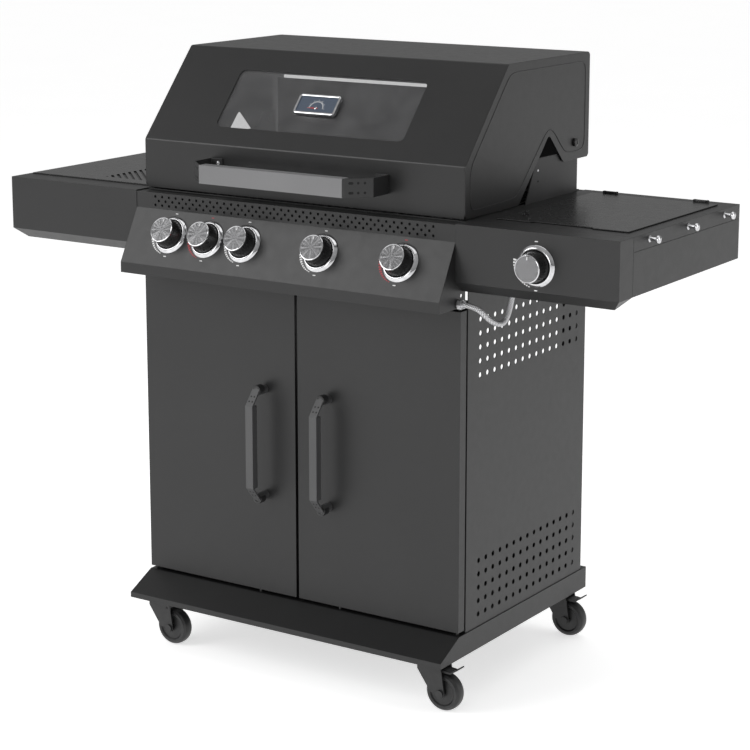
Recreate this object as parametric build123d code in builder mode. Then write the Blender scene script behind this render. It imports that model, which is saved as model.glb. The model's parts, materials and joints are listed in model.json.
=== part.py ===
from build123d import *
import os
from math import cos, radians, sin, tan

os.makedirs("parts", exist_ok=True)

# Gas barbecue on a two-door cabinet, in millimetres.  The origin is on the floor, in the
# middle of the four caster swivels; +X is to the right, +Y to the back, +Z up.
front = -217  # plane of the door fronts
sheet = 1.5  # pressed steel
gauge = 2.0  # firebox and lid end steel

# Cabinet
cab_half = 348.5  # outside of the side panels
panel_front = front + 24
cab_rear = front + 452.5
inner_half = cab_half - sheet
hole_pitch, hole_r = 25, 4.75
hole_patch_y = front + 242.4
hole_patch_z = (208.6, 648.4)
window_sill, window_head = 480, 745  # open upper part of the back
frame_top, frame_w = 735, 33

# Base tray and casters
tray_half, tray_rear = 350, front + 472.5
tray_top, tray_bottom = 135, 94
nose_y, nose_z = front - 62, 104
tray_return = 26
swivel_x, swivel_y = 306, 229
trail, wheel_r, wheel_w = 23.5, 35, 25
fork_z, fork_half, fork_plate = 80, 19, 2.5
axle_r, kingpin_r, lever_pin_r = 4, 5, 2

# Doors
door_gap, door_edge, door_t = 3, 348, 20
door_low, door_high = 141.5, 722
hinge_x, hinge_y, hinge_pin_r = 340, front + 10, 3
grip_x, grip_mid, grip_half = 71, 429.5, 77.5
grip_out, grip_w, grip_d = 50, 16, 14

# Control panel and knobs
strip_y, strip_top, strip_low = front - 19.6, 876.6, 846.6
slant_y, slant_low, lip_low = front - 70.3, 750.1, 730.4
panel_back = front + 14
slant = 27.72  # degrees the knob face leans back
knob_drop = 47  # from the top edge of the slanted face to the knob axes
knob_step = 83.75
knob_slots = (-3, -2, -1, 1, 3)
ring_r, ring_bore = 36, 28.5
grip_low_r, grip_top_r, rim_r = 27.5, 23.5, 24
stem_r, fit = 4, 0.06
knob_gap, knob_face = 3.5, 32

# Firebox
rim_z, rim_half, rim_front, rim_rear = 878, 348.5, front + 14, front + 436
box_half, box_front, box_rear = 342, front + 18, front + 430
burner_z, burner_r = 797, 12
slope_z, floor_z = 775, 742
drain_half, drain_front, drain_rear = 100, front + 165, front + 280
grate_ledge, tamer_ledge = 858, 823.5
rail_x, rail_z = 153, 726.3

# Lid
lid_half, lid_front, lid_rear = 349.5, front + 9.75, front + 450
lid_low, crease_z, lid_top = 881.5, 971.3, 1135.3
lid_top_y = front + 153.4
lid_rear_low = 1085
lid_hinge_y, lid_hinge_z = front + 396.4, 972.3
window_w, window_h, window_mid = 410, 130, 105  # measured along the lid's slope
bolt_r = 4

# Side shelves
shelf_in, shelf_out, shelf_rear = 348.5, 661, front + 442.5
shelf_top, shelf_low, fascia_y = 878.6, 780, front - 20.4
keel_y, keel_z, seam_y = front + 2, 759, front + 27
side_knob_x, side_knob_z = 506, 822
hook_z, hook_y = 868, (front + 84.7, front + 231.2, front + 377.8)
pan = (390, 630, front + 64, front + 398, 815)
side_lid = (384, 636, front + 58, front + 404, 879.1, 881.1)
side_hinge_y, side_hinge_z, side_pin_r = front + 410, 882.4, 1.5
burner_x, burner_y = 510, front + 231

lean = radians(slant)
knob_normal = (0, -cos(lean), sin(lean))
knob_origin_y = strip_y - knob_drop * sin(lean)
knob_origin_z = strip_low - knob_drop * cos(lean)
slope_plane = Plane(
    origin=(0, lid_front, crease_z),
    x_dir=(1, 0, 0),
    z_dir=(0, crease_z - lid_top, lid_top_y - lid_front),
)
side_knob_plane = Plane(origin=(side_knob_x, fascia_y, side_knob_z), x_dir=(1, 0, 0), z_dir=(0, -1, 0))


def knob_plane(step):
    """The plane of the slanted panel face, centred on one knob."""
    return Plane(origin=(step * knob_step, knob_origin_y, knob_origin_z), x_dir=(1, 0, 0), z_dir=knob_normal)


knob_planes = [knob_plane(step) for step in knob_slots] + [side_knob_plane]


def block(x0, x1, y0, y1, z0, z1, mode=Mode.ADD):
    """A box between two corners."""
    with Locations(((x0 + x1) / 2, (y0 + y1) / 2, (z0 + z1) / 2)):
        Box(abs(x1 - x0), abs(y1 - y0), abs(z1 - z0), mode=mode)


def rod(start, end, radius, mode=Mode.ADD):
    """A round bar from one point to another."""
    line = Vector(*end) - Vector(*start)
    with Locations(Plane(origin=start, z_dir=line)):
        Cylinder(radius, line.length, align=(Align.CENTER, Align.CENTER, Align.MIN), mode=mode)


def outline(*points):
    """A face inside straight edges."""
    with BuildLine() as edge:
        Polyline(*points, close=True)
    make_face(edge.edges())


def bent_sheet(*points, thickness=sheet, side=Side.RIGHT, bend=3):
    """The section of a folded sheet whose outer skin follows the points."""
    with BuildLine() as edge:
        FilletPolyline(*points, radius=bend)
        offset(amount=thickness, side=side)
    make_face(edge.edges())


# ---- Base tray: a pan with its mouth down and a sloping apron in front ----
tray_outline = (
    (front, tray_top),
    (tray_rear, tray_top),
    (tray_rear, tray_bottom),
    (nose_y, tray_bottom),
    (nose_y, nose_z),
)
with BuildPart() as base_tray:
    with BuildSketch(Plane.YZ):
        outline(*tray_outline)
    extrude(amount=tray_half, both=True)
    with BuildSketch(Plane.YZ):
        outline(*tray_outline)
        offset(amount=-sheet, kind=Kind.INTERSECTION)
    extrude(amount=tray_half - sheet, both=True, mode=Mode.SUBTRACT)
    mouth_x = tray_half - tray_return
    mouth_y = (nose_y + tray_return, tray_rear - tray_return)
    block(-mouth_x, mouth_x, *mouth_y, tray_bottom - 1, tray_bottom + 2 * sheet, Mode.SUBTRACT)
base_tray.part.label = "base_tray"
export_step(base_tray.part, "parts/base_tray.step")

# ---- Side panels: two patches of holes, a front return and an ear for the door pin ----
for side, name in ((-1, "side_panel_left"), (1, "side_panel_right")):
    with BuildPart() as side_panel:
        with BuildSketch(Plane.YZ.offset(side * inner_half)):
            outline(
                (panel_front, tray_top),
                (cab_rear, tray_top),
                (cab_rear, rim_z - gauge),
                (panel_front, rim_z - gauge),
            )
            with Locations(*[(hole_patch_y, z) for z in hole_patch_z]):
                with GridLocations(hole_pitch, hole_pitch, 15, 5):
                    Circle(hole_r, mode=Mode.SUBTRACT)
        extrude(amount=side * sheet)
        folded = sorted((side * inner_half, side * (inner_half - 25)))
        block(*folded, panel_front, panel_front + sheet, tray_top, frame_top)
        ear = sorted((side * inner_half, side * (hinge_x - 12)))
        block(*ear, hinge_y - 7, panel_front, 726, 728)
    side_panel.part.label = name
    export_step(side_panel.part, f"parts/{name}.step")

# ---- Back panel: two posts, a closed lower half and a rail across the top ----
with BuildPart() as back_panel:
    block(-inner_half, inner_half, cab_rear - 47, cab_rear, tray_top, rim_z - gauge)
    block(
        sheet - inner_half, inner_half - sheet, cab_rear - 48, cab_rear - sheet, tray_top - 1, rim_z, Mode.SUBTRACT
    )
    block(-300, 300, cab_rear - 2 * sheet, cab_rear + 1, window_sill, window_head, Mode.SUBTRACT)
back_panel.part.label = "back_panel"
export_step(back_panel.part, "parts/back_panel.step")

# ---- Front frame: a channel all round the door opening, and two door magnets ----
frame_y = (panel_front + sheet, panel_front + sheet + 15)
with BuildPart() as front_frame:
    block(-inner_half, inner_half, *frame_y, tray_top, frame_top)
    block(frame_w - inner_half, inner_half - frame_w, frame_y[0] - 1, frame_y[1] + 1,
          tray_top + 15, frame_top - frame_w, Mode.SUBTRACT)
    with BuildSketch(Plane.XZ.offset(-frame_y[1])):
        with Locations((0, (tray_top + frame_top) / 2)):
            Rectangle(2 * (inner_half - sheet), frame_top - tray_top - 2 * sheet)
        with Locations((0, (tray_top + 15 + frame_top - frame_w) / 2)):
            Rectangle(
                2 * (inner_half - frame_w + sheet),
                frame_top - frame_w - tray_top - 15 + 2 * sheet,
                mode=Mode.SUBTRACT,
            )
    extrude(amount=15 - sheet, mode=Mode.SUBTRACT)
    for side in (-1, 1):
        magnet = sorted((side * 10, side * 34))
        block(*magnet, front + door_t + 0.4, frame_y[0], 706, 716)
front_frame.part.label = "front_frame"
export_step(front_frame.part, "parts/front_frame.step")

# ---- Firebox: straight walls, a sloping floor to the drain, ledges and tray rails ----
with BuildPart() as firebox:
    block(-box_half, box_half, box_front, box_rear, slope_z, rim_z)
    with BuildSketch(Plane.XY.offset(slope_z)) as slope_head:
        with Locations((0, (box_front + box_rear) / 2)):
            Rectangle(2 * box_half, box_rear - box_front)
    with BuildSketch(Plane.XY.offset(floor_z)) as slope_foot:
        with Locations((0, (drain_front + drain_rear) / 2)):
            Rectangle(2 * drain_half, drain_rear - drain_front)
    loft()
    block(-box_half + gauge, box_half - gauge, box_front + gauge, box_rear - gauge,
          slope_z, rim_z + 1, Mode.SUBTRACT)
    with BuildSketch(Plane.XY.offset(slope_z + 0.01)):
        with Locations((0, (box_front + box_rear) / 2)):
            Rectangle(2 * (box_half - gauge), box_rear - box_front - 2 * gauge)
    with BuildSketch(Plane.XY.offset(floor_z - 0.01)):
        with Locations((0, (drain_front + drain_rear) / 2)):
            Rectangle(2 * (drain_half - gauge), drain_rear - drain_front - 2 * gauge)
    loft(mode=Mode.SUBTRACT)
    block(-rim_half, rim_half, rim_front, rim_rear, rim_z - gauge, rim_z)
    block(-box_half + gauge, box_half - gauge, box_front + gauge, box_rear - gauge,
          rim_z - 2 * gauge, rim_z + 1, Mode.SUBTRACT)
    for ledge in (grate_ledge, tamer_ledge):
        block(-box_half, box_half, box_front, box_front + 16, ledge - gauge, ledge)
        block(-box_half, box_half, box_rear - 16, box_rear, ledge - gauge, ledge)
    with BuildSketch(Plane.XZ.offset(-box_front)):
        with Locations(*[(step * knob_step, burner_z) for step in (-3, -1, 1, 3)]):
            Circle(burner_r + 1.5)
    extrude(amount=-2 * gauge, mode=Mode.SUBTRACT)
    for side in (-1, 1):
        web = sorted((side * rail_x, side * (rail_x + sheet)))
        lip = sorted((side * (rail_x - 11), side * (rail_x + sheet)))
        rail_top = floor_z + (slope_z - floor_z) * (rail_x - drain_half) / (box_half - drain_half)
        block(*web, front + 100, box_rear, rail_z - sheet, rail_top + 0.2)
        block(*lip, front + 100, box_rear, rail_z - sheet, rail_z)
firebox.part.label = "firebox"
export_step(firebox.part, "parts/firebox.step")

# ---- Firebox wings that carry the lid hinge, and the rear heat shield ----
wing_in, shield_top = 343.5, 1052
with BuildPart() as firebox_wings:
    for side in (-1, 1):
        with BuildSketch(Plane.YZ.offset(side * wing_in)):
            outline(
                (front + 225, rim_z),
                (front + 415, rim_z),
                (front + 415, lid_hinge_z + 14),
                (front + 374, lid_hinge_z + 14),
                (front + 350, 957),
                (front + 262, 957),
            )
            with Locations((lid_hinge_y, lid_hinge_z)):
                Circle(bolt_r + fit, mode=Mode.SUBTRACT)
            with Locations((front + 268, 935), (front + 268, 915)):
                Circle(2.1, mode=Mode.SUBTRACT)
        extrude(amount=side * gauge)
    block(-340, 340, front + 418, front + 420, rim_z, shield_top)
    block(-340, 340, front + 420, front + 434, rim_z, rim_z + gauge)
    block(-206, -184, front + 417, front + 421, 894, 916, Mode.SUBTRACT)
firebox_wings.part.label = "firebox_wings"
export_step(firebox_wings.part, "parts/firebox_wings.step")

# ---- Control panel: folded skin with a perforated strip, closed by its two ends ----
panel_outline = (
    (strip_y, strip_top),
    (strip_y, strip_low),
    (slant_y, slant_low),
    (slant_y, lip_low),
    (panel_back, lip_low),
    (panel_back, strip_top),
)
with BuildPart() as control_panel:
    with BuildSketch(Plane.YZ):
        outline(*panel_outline)
    extrude(amount=cab_half, both=True)
    with BuildSketch(Plane.YZ):
        outline(*panel_outline)
        offset(amount=-sheet, kind=Kind.INTERSECTION)
    extrude(amount=cab_half - sheet, both=True, mode=Mode.SUBTRACT)
    block(sheet - cab_half, cab_half - sheet, panel_back - 2 * sheet, panel_back + 1,
          lip_low + sheet, strip_top - sheet, Mode.SUBTRACT)
    with BuildSketch(Plane.XZ.offset(-strip_y)):
        strip_mid = (strip_top + strip_low) / 2
        with Locations((0, strip_mid)):
            with GridLocations(16, 16, 39, 2):
                Circle(2.4)
            with GridLocations(16, 16, 38, 1):
                Circle(2.4)
    extrude(amount=-2 * sheet, mode=Mode.SUBTRACT)
    for plane in knob_planes[:-1]:
        with BuildSketch(plane):
            Circle(stem_r + 2.5)
        extrude(amount=-2 * sheet, mode=Mode.SUBTRACT)
    rod((cab_half - 3, front - 10.5, 738), (cab_half + 1, front - 10.5, 738), 6.2, Mode.SUBTRACT)
    rod((cab_half - 3, front + 1, 751), (cab_half + 1, front + 1, 751), 3.5, Mode.SUBTRACT)
    rod((3 - cab_half, front - 6, 746), (-cab_half - 1, front - 6, 746), 6.8, Mode.SUBTRACT)
control_panel.part.label = "control_panel"
export_step(control_panel.part, "parts/control_panel.step")

# ---- Knob bezels: six rings that stand on the panel and the right fascia ----
with BuildPart() as knob_bezels:
    for plane in knob_planes:
        with BuildSketch(plane):
            Circle(ring_r)
            Circle(ring_bore, mode=Mode.SUBTRACT)
        extrude(amount=3)
        with BuildSketch(plane.offset(3)):
            Circle(ring_r)
            Circle(ring_bore, mode=Mode.SUBTRACT)
        extrude(amount=3, taper=35)
knob_bezels.part.label = "knob_bezels"
export_step(knob_bezels.part, "parts/knob_bezels.step")

# ---- Knobs: a stem that turns in the valve, and a knob that is pushed along it ----
for number, plane in enumerate(knob_planes, 1):
    with BuildPart() as knob_stem:
        with BuildSketch(plane.offset(-14)):
            Circle(stem_r)
        extrude(amount=38)
    knob_stem.part.label = f"knob_{number}_stem"
    export_step(knob_stem.part, f"parts/knob_{number}_stem.step")

    with BuildPart() as knob:
        with Locations(plane.offset(knob_gap)):
            Cone(grip_low_r, grip_top_r, 24.5, align=(Align.CENTER, Align.CENTER, Align.MIN))
            Cylinder(stem_r + fit, 24, align=(Align.CENTER, Align.CENTER, Align.MIN), mode=Mode.SUBTRACT)
        with BuildSketch(plane.offset(28)):
            Circle(rim_r)
        extrude(amount=knob_face - 28)
        with BuildSketch(plane.offset(knob_face)):
            with Locations((0, 17)):
                Rectangle(2, 6)
        extrude(amount=-0.8, mode=Mode.SUBTRACT)
    knob.part.label = f"knob_{number}"
    export_step(knob.part, f"parts/knob_{number}.step")

# ---- Gas manifold: pipe, valves, nozzles, inlet, hose outlet and the rear burner's pipe ----
pipe_y, pipe_z = front - 1.4, 784.5
hose_start = (362, front - 10.5, 738)
rear_pipe = (
    (-195, pipe_y, pipe_z - 4),
    (-195, pipe_y, 746),
    (-195, front + 440, 746),
    (-195, front + 440, 905),
    (-195, front + 417.5, 905),
)
with BuildPart() as gas_manifold:
    rod((-336, pipe_y, pipe_z), (336, pipe_y, pipe_z), 8)
    for step, plane in zip(knob_slots, knob_planes):
        with BuildSketch(plane.offset(-34)):
            Rectangle(26, 26)
        extrude(amount=30)
        x = step * knob_step
        rod((x, front - 20, burner_z), (x, front + 14, burner_z), 4)
        with BuildSketch(plane.offset(-16)):
            Circle(stem_r + fit)
        extrude(amount=13, mode=Mode.SUBTRACT)
    block(326, 344, front - 18, front + 4, 733, 792)
    rod((344, front - 10.5, 738), (352, front - 10.5, 738), 6)
    with BuildSketch(Plane.YZ.offset(350)):
        with Locations((front - 10.5, 738)):
            RegularPolygon(9, 6)
    extrude(amount=8)
    rod((358, front - 10.5, 738), hose_start, 6.5)
    block(-344, -326, front - 14, front + 4, 738, 792)
    rod((-344, front - 6, 746), (-351, front - 6, 746), 6.4)
    rod((-351, front - 6, 746), (-371, front - 6, 746), 6.58)
    with BuildLine() as rear_route:
        FilletPolyline(*rear_pipe, radius=10)
    with BuildSketch(Plane(origin=rear_pipe[0], z_dir=(0, 0, -1))):
        Circle(4)
    sweep(path=rear_route.wires()[0])
gas_manifold.part.label = "gas_manifold"
export_step(gas_manifold.part, "parts/gas_manifold.step")

# ---- Burners, flame tamers and cooking grates inside the firebox ----
burner_steps = (-3, -1, 1, 3)
with BuildPart() as burner_tubes:
    for step in burner_steps:
        x = step * knob_step
        rod((x, front + 9, burner_z), (x, box_rear - 30, burner_z), burner_r)
        rod((x, front + 8, burner_z), (x, box_rear - 32, burner_z), burner_r - 1, Mode.SUBTRACT)
        block(x - 6, x + 6, box_rear - 31, box_rear - gauge, burner_z - 9, burner_z - 7)
burner_tubes.part.label = "burner_tubes"
export_step(burner_tubes.part, "parts/burner_tubes.step")

with BuildPart() as flame_tamers:
    with BuildSketch(Plane.XZ.offset(-box_front - gauge)):
        for step in burner_steps:
            x = step * knob_step
            outline(
                (x - 48, tamer_ledge), (x, tamer_ledge + 26), (x + 48, tamer_ledge),
                (x + 45, tamer_ledge), (x, tamer_ledge + 24), (x - 45, tamer_ledge),
            )
    extrude(amount=-(box_rear - box_front - 2 * gauge))
flame_tamers.part.label = "flame_tamers"
export_step(flame_tamers.part, "parts/flame_tamers.step")

grate_w, grate_gap = 223, 3
with BuildPart() as cooking_grates:
    grate_y = (box_front + gauge + 1, box_rear - gauge - 1)
    with BuildSketch(Plane.XY.offset(grate_ledge)):
        with Locations((0, sum(grate_y) / 2)):
            with GridLocations(grate_w + grate_gap, 0, 3, 1):
                Rectangle(grate_w, grate_y[1] - grate_y[0])
                with GridLocations(18, 196, 12, 2):
                    SlotOverall(184, 9, rotation=90, mode=Mode.SUBTRACT)
    extrude(amount=11)
cooking_grates.part.label = "cooking_grates"
export_step(cooking_grates.part, "parts/cooking_grates.step")

with BuildPart() as warming_rack:
    rack_z, rack_front, rack_rear = 935, front + 268, front + 386
    rod((-345.5, rack_front, rack_z), (345.5, rack_front, rack_z), 2)
    for i in range(1, 6):
        y = rack_front + i * (rack_rear - rack_front) / 5
        rod((-330, y, rack_z), (330, y, rack_z), 2)
    for i in range(9):
        x = -330 + i * 82.5
        rod((x, rack_front, rack_z), (x, rack_rear, rack_z), 2.5)
    for x in (-330, 330):
        rod((x, rack_rear, rack_z), (x, rack_rear, rim_z + 2.5), 2.5)
        rod((x, rack_rear, rim_z + 2.5), (x, front + 418, rim_z + 2.5), 2.5)
warming_rack.part.label = "warming_rack"
export_step(warming_rack.part, "parts/warming_rack.step")

with BuildPart() as rear_burner:
    block(-220, 220, front + 399, front + 418, 890, 942)
    block(-210, 210, front + 398, front + 404, 900, 932, Mode.SUBTRACT)
    rod((-195, front + 419, 905), (-195, front + 409, 905), 4.5, Mode.SUBTRACT)
    with BuildSketch(Plane.XZ.offset(-front - 404)):
        with Locations((0, 916)):
            with GridLocations(20, 32, 20, 1):
                Rectangle(2, 32)
    extrude(amount=3)
rear_burner.part.label = "rear_burner"
export_step(rear_burner.part, "parts/rear_burner.step")

# ---- Lid: folded shell with a window, two ends, glass, its retainer ----
lid_points = (
    (lid_front, lid_low),
    (lid_front, crease_z),
    (lid_top_y, lid_top),
    (lid_rear, lid_top),
    (lid_rear, lid_rear_low),
)
with BuildPart() as lid_shell:
    with BuildSketch(Plane.YZ):
        bent_sheet(*lid_points, bend=5)
    extrude(amount=lid_half - gauge, both=True)
    with BuildSketch(slope_plane):
        with Locations((0, window_mid)):
            RectangleRounded(window_w, window_h, 12)
    extrude(amount=-3 * sheet, mode=Mode.SUBTRACT)
lid_shell.part.label = "lid_shell"
export_step(lid_shell.part, "parts/lid_shell.step")

with BuildPart() as lid_ends:
    for side in (-1, 1):
        with BuildSketch(Plane.YZ.offset(side * (lid_half - gauge))):
            outline(
                (lid_front, lid_low),
                (lid_front, crease_z),
                (lid_top_y, lid_top),
                (lid_rear, lid_top),
                (lid_rear, 941),
                (front + 354, 941),
                (front + 299, 996.5),
                (front + 192, lid_low),
            )
            corners = vertices().sort_by(Axis.Z)
            fillet(corners.filter_by(lambda v: v.Y > front + 180), 8)
            with Locations((lid_hinge_y, lid_hinge_z)):
                Circle(bolt_r + fit, mode=Mode.SUBTRACT)
        extrude(amount=side * gauge)
lid_ends.part.label = "lid_ends"
export_step(lid_ends.part, "parts/lid_ends.step")

glass_t = 4
with BuildPart() as window_glass:
    with BuildSketch(slope_plane.offset(-sheet - glass_t)):
        with Locations((0, window_mid)):
            RectangleRounded(window_w + 20, window_h + 20, 12)
        with Locations((0, window_mid - 5)):
            Circle(5, mode=Mode.SUBTRACT)
    extrude(amount=glass_t)
window_glass.part.label = "window_glass"
export_step(window_glass.part, "parts/window_glass.step")

with BuildPart() as window_frame:
    with BuildSketch(slope_plane.offset(-sheet - glass_t - gauge)):
        with Locations((0, window_mid)):
            RectangleRounded(window_w + 32, window_h + 32, 12)
            RectangleRounded(window_w, window_h, 12, mode=Mode.SUBTRACT)
    extrude(amount=gauge)
window_frame.part.label = "window_frame"
export_step(window_frame.part, "parts/window_frame.step")

# ---- Lid handle: a flat tube between two bent brackets ----
handle_half, handle_y, handle_low, handle_high = 155, front - 77.8, 913.3, 946.7
handle_depth, bracket_t = 20, 2.2
with BuildPart() as lid_handle_bar:
    block(-handle_half, handle_half, handle_y, handle_y + handle_depth, handle_low, handle_high)
    block(-handle_half - 1, handle_half + 1, handle_y + sheet, handle_y + handle_depth - sheet,
          handle_low + sheet, handle_high - sheet, Mode.SUBTRACT)
lid_handle_bar.part.label = "lid_handle_bar"
export_step(lid_handle_bar.part, "parts/lid_handle_bar.step")

with BuildPart() as lid_handle_brackets:
    with BuildSketch(Plane.XY.offset(handle_low)):
        bent_sheet(
            (168, lid_front),
            (194.8, lid_front),
            (194.8, front - 39.5),
            (handle_half + 1.5, handle_y + sheet + 0.1),
            (handle_half - 22, handle_y + sheet + 0.1),
            thickness=bracket_t,
            bend=2.5,
        )
    extrude(amount=handle_high - handle_low)
    for low, high in ((handle_low - 1, handle_low + 1.7), (handle_high - 1.7, handle_high + 1)):
        block(handle_half - 30, handle_half + 0.2, handle_y, handle_y + handle_depth, low, high, Mode.SUBTRACT)
    mirror(about=Plane.YZ)
lid_handle_brackets.part.label = "lid_handle_brackets"
export_step(lid_handle_brackets.part, "parts/lid_handle_brackets.step")

# ---- Thermometer in the middle of the window: case, stem and needle ----
case_mid = window_mid - 5
dial_mid = case_mid - 8
with BuildPart() as thermometer_case:
    with BuildSketch(slope_plane.offset(-sheet)):
        with Locations((0, case_mid)):
            RectangleRounded(91, 43, 5)
    extrude(amount=sheet + 8)
    with BuildSketch(slope_plane.offset(8)):
        with Locations((0, case_mid)):
            RectangleRounded(84, 36, 3)
    extrude(amount=-2.6, mode=Mode.SUBTRACT)
    with BuildSketch(slope_plane.offset(-60)):
        with Locations((0, case_mid)):
            Circle(4)
    extrude(amount=60)
    with BuildSketch(slope_plane.offset(8)):
        with Locations((0, dial_mid)):
            Circle(1.05)
    extrude(amount=-5, mode=Mode.SUBTRACT)
thermometer_case.part.label = "thermometer_case"
export_step(thermometer_case.part, "parts/thermometer_case.step")

with BuildPart() as thermometer_needle:
    with BuildSketch(slope_plane.offset(3.2)):
        with Locations((0, dial_mid)):
            Circle(1)
    extrude(amount=3.4)
    with BuildSketch(slope_plane.offset(6)):
        with Locations((0, dial_mid)):
            Circle(2.2)
        outline((-20, dial_mid - 0.2), (-20, dial_mid + 0.2), (4, dial_mid + 1), (4, dial_mid - 1))
    extrude(amount=0.8)
thermometer_needle.part.label = "thermometer_needle"
export_step(thermometer_needle.part, "parts/thermometer_needle.step")

# ---- Doors: pans with their mouths to the back, each with a handle ----
for side, name in ((-1, "door_left"), (1, "door_right")):
    across = sorted((side * door_gap, side * door_edge))
    hollow = (across[0] + sheet, across[1] - sheet)
    with BuildPart() as door:
        block(*across, front, front + door_t, door_low, door_high)
        block(*hollow, front + sheet, front + door_t - sheet,
              door_low + sheet, door_high - sheet, Mode.SUBTRACT)
        block(across[0] + 15, across[1] - 15, front + door_t - 2 * sheet, front + door_t + 1,
              door_low + 15, door_high - 15, Mode.SUBTRACT)
        rod((side * hinge_x, hinge_y, door_low - 1), (side * hinge_x, hinge_y, door_high + 1),
            hinge_pin_r + fit, Mode.SUBTRACT)
    door.part.label = name
    export_step(door.part, f"parts/{name}.step")

    with BuildPart() as handle:
        grip = (side * grip_x - grip_w / 2, side * grip_x + grip_w / 2)
        block(*grip, front - grip_out, front - grip_out + grip_d, grip_mid - grip_half, grip_mid + grip_half)
        for end in (-1, 1):
            tip = grip_mid + end * grip_half
            post_z = tip + end * 23
            with BuildSketch(Plane.YZ.offset(side * grip_x)):
                outline(
                    (front - grip_out, tip),
                    (front - grip_out + 24, tip + end * 29),
                    (front - grip_out + 26.5, tip + end * 29),
                    (front - grip_out + 4, tip),
                )
            extrude(amount=grip_w / 2, both=True)
            rod((side * grip_x, front, post_z), (side * grip_x, front - 26, post_z), 8)
    handle.part.label = f"{name}_handle"
    export_step(handle.part, f"parts/{name}_handle.step")

# ---- Grease tray on the firebox rails, with its drip cup ----
with BuildPart() as grease_tray:
    block(-140, 140, front + 90, front + 420, 700, 728.5)
    block(-138.8, 138.8, front + 91.2, front + 418.8, 701.2, 730, Mode.SUBTRACT)
    block(-150.5, 150.5, front + 90, front + 420, 727.3, 728.5)
    block(-138.8, 138.8, front + 91.2, front + 418.8, 727, 729, Mode.SUBTRACT)
    block(-75, 75, front + 420, front + 432, 727.3, 728.5)
    block(-75, 75, front + 430.8, front + 432, 712, 728.5)
    rod((0, front + 225, 699), (0, front + 225, 703), 14, Mode.SUBTRACT)
    block(-60, 60, front + 165, front + 285, 664, 700)
    block(-58.8, 58.8, front + 166.2, front + 283.8, 665.2, 701, Mode.SUBTRACT)
    rod((0, front + 225, 699), (0, front + 225, 703), 14, Mode.SUBTRACT)
grease_tray.part.label = "grease_tray"
export_step(grease_tray.part, "parts/grease_tray.step")


# ---- Side shelves: a fascia with a chamfered foot, a flat deck and plain sides ----
def shelf_body():
    """The shell that both shelves share, drawn on the right."""
    with BuildSketch(Plane.YZ.offset(shelf_in)) as profile:
        outline(
            (fascia_y, shelf_top),
            (shelf_rear, shelf_top),
            (shelf_rear, shelf_low),
            (front + 26, shelf_low - 2),
            (keel_y, keel_z),
            (fascia_y, shelf_low - 2),
        )
    extrude(profile.sketch, amount=shelf_out - shelf_in)
    drop = shelf_low - 2 - keel_z
    with BuildSketch(Plane.XZ.offset(-fascia_y + 1)) as end_cut:
        outline(
            (shelf_out + 1, shelf_low - 1),
            (shelf_out + 1, keel_z - 1),
            (shelf_out - drop - 1, keel_z - 1),
        )
    extrude(end_cut.sketch, amount=-52, mode=Mode.SUBTRACT)
    hollow = (shelf_in + sheet, shelf_out - sheet)
    block(*hollow, fascia_y + sheet, shelf_rear - sheet, shelf_low - 0.5, shelf_top - sheet, Mode.SUBTRACT)
    block(*hollow, seam_y, shelf_rear - sheet, shelf_low - 3, shelf_low + 1, Mode.SUBTRACT)
    with BuildSketch(Plane.YZ.offset(shelf_in + sheet)) as keel_room:
        outline((fascia_y + sheet, shelf_low - 0.4), (front + 24, shelf_low - 0.4), (keel_y, keel_z + 2.4))
    extrude(keel_room.sketch, amount=shelf_out - drop - 2 - shelf_in, mode=Mode.SUBTRACT)
    block(shelf_in, shelf_out + 1, seam_y, seam_y + 0.8, shelf_top - 0.6, shelf_top + 1, Mode.SUBTRACT)
    for gap in ((seam_y, seam_y + 0.8, shelf_low, shelf_top), (seam_y, shelf_rear, 852.8, 853.6)):
        block(shelf_out - 0.6, shelf_out + 1, *gap, Mode.SUBTRACT)


with BuildPart() as left_shelf_frame:
    shelf_body()
    mirror(about=Plane.YZ, mode=Mode.REPLACE)
left_shelf_frame.part.label = "left_shelf_frame"
export_step(left_shelf_frame.part, "parts/left_shelf_frame.step")

slot_pitch, slot_w = 12, 5.5
vent = (-497, -372, front + 66, front + 405)
vent_mid = ((vent[0] + vent[1]) / 2, (vent[2] + vent[3]) / 2)
with BuildPart() as left_shelf_top:
    block(-652, -356, front + 31, front + 436, shelf_top, shelf_top + 2.5)
    with BuildSketch(Plane.XY.offset(shelf_top)):
        with Locations(vent_mid):
            with Locations(Rotation(0, 0, 135)):
                with GridLocations(0, slot_pitch, 1, 28):
                    Rectangle(500, slot_w)
            Rectangle(vent[1] - vent[0], vent[3] - vent[2], mode=Mode.INTERSECT)
    extrude(amount=3, mode=Mode.SUBTRACT)
left_shelf_top.part.label = "left_shelf_top"
export_step(left_shelf_top.part, "parts/left_shelf_top.step")

with BuildPart() as right_shelf_frame:
    shelf_body()
    block(*pan, shelf_top - sheet)
    block(pan[0] + sheet, pan[1] - sheet, pan[2] + sheet, pan[3] - sheet,
          pan[4] + sheet, shelf_top + 1, Mode.SUBTRACT)
    rod((burner_x, burner_y, pan[4] - 1), (burner_x, burner_y, pan[4] + 3), 16, Mode.SUBTRACT)
    rod((side_knob_x, fascia_y - 1, side_knob_z), (side_knob_x, fascia_y + 3, side_knob_z),
        stem_r + 2.5, Mode.SUBTRACT)
    for x in (404, 586):
        for ear in (x, x + 25):
            block(ear, ear + 4, side_hinge_y - 3, side_hinge_y + 3, shelf_top - sheet, side_hinge_z + 3)
        rod((x - 1, side_hinge_y, side_hinge_z), (x + 30, side_hinge_y, side_hinge_z),
            side_pin_r + fit, Mode.SUBTRACT)
right_shelf_frame.part.label = "right_shelf_frame"
export_step(right_shelf_frame.part, "parts/right_shelf_frame.step")

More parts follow.
